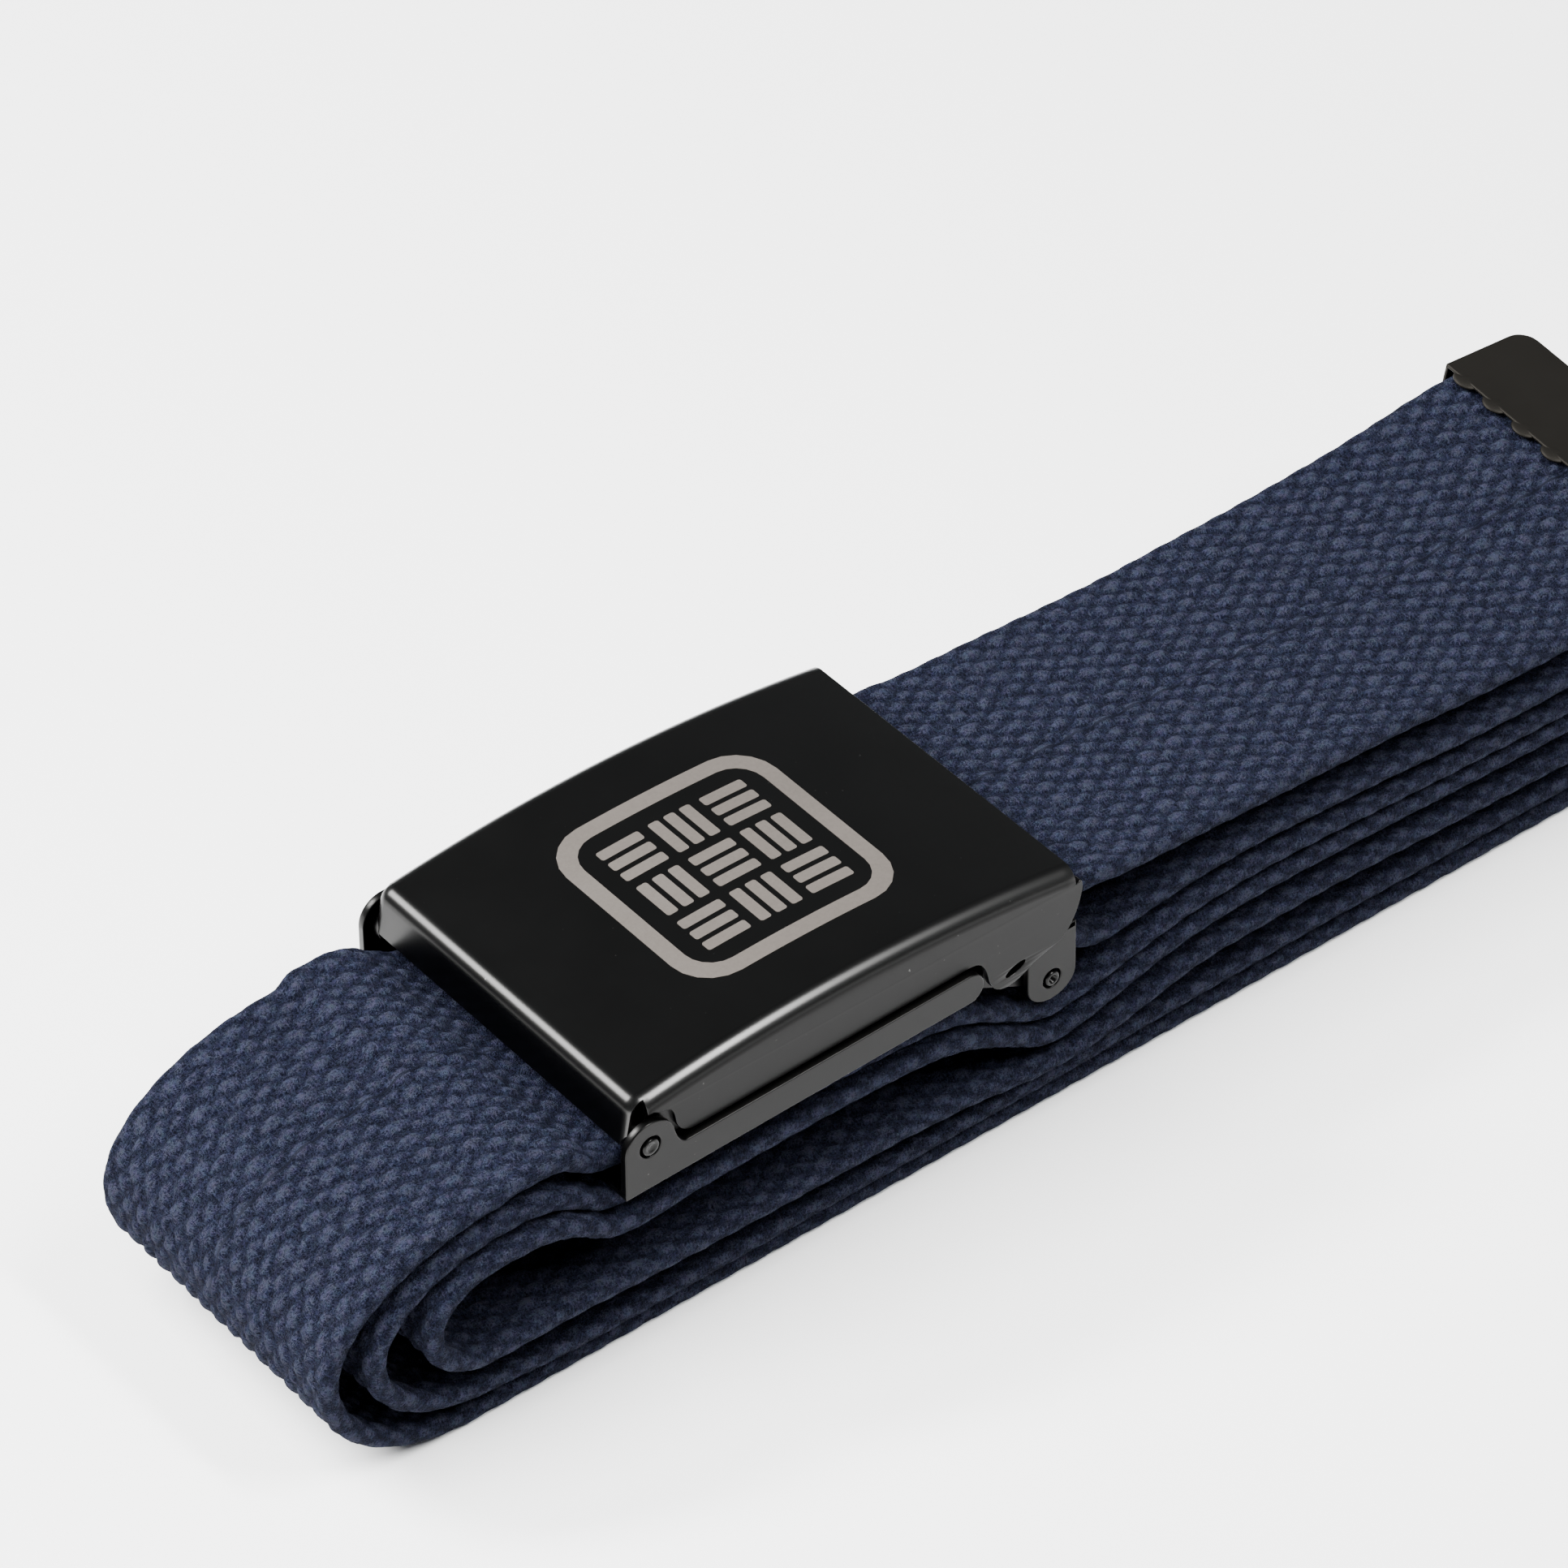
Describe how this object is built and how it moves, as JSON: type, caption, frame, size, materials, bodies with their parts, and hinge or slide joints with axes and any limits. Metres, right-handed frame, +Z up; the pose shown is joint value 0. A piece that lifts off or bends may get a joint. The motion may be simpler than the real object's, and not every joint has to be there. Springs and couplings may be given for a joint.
{
  "type": "canvas web belt",
  "caption": "Canvas web belt with a flip-lid metal buckle and a metal tip, fastened as a loop and folded flat on itself with the buckle on top.",
  "frame": {"origin": "the middle of the folded bundle's box, on the surface that it lies on", "axes": "+X along the bundle from the left folds to the belt's tip, +Y across it to the side away from the viewer, +Z up, out of the buckle's lid"},
  "size_m": [0.1934, 0.0444, 0.0352],
  "materials": {
    "web": "thick navy cotton double weave, matt and slightly fuzzy",
    "buckle": "black nickel with a soft satin gloss",
    "pins": "black nickel, a little brighter where it is worn",
    "tip": "dark brown-black, duller than the buckle"
  },
  "bodies": {
    "belt": {"web_strap": "web", "buckle_frame": "buckle", "hinge_pin": "pins", "clamp_plate": "buckle", "clamp_pin": "pins", "belt_tip": "tip"},
    "lid": {"buckle_lid": "buckle"}
  },
  "joints": [
    {"name": "lid_hinge", "type": "hinge", "parent": "belt", "child": "lid", "pos_m": [-0.05884, 0, 0.02804], "axis": [0, -1, 0], "range_deg": [0, 45]}
  ]
}
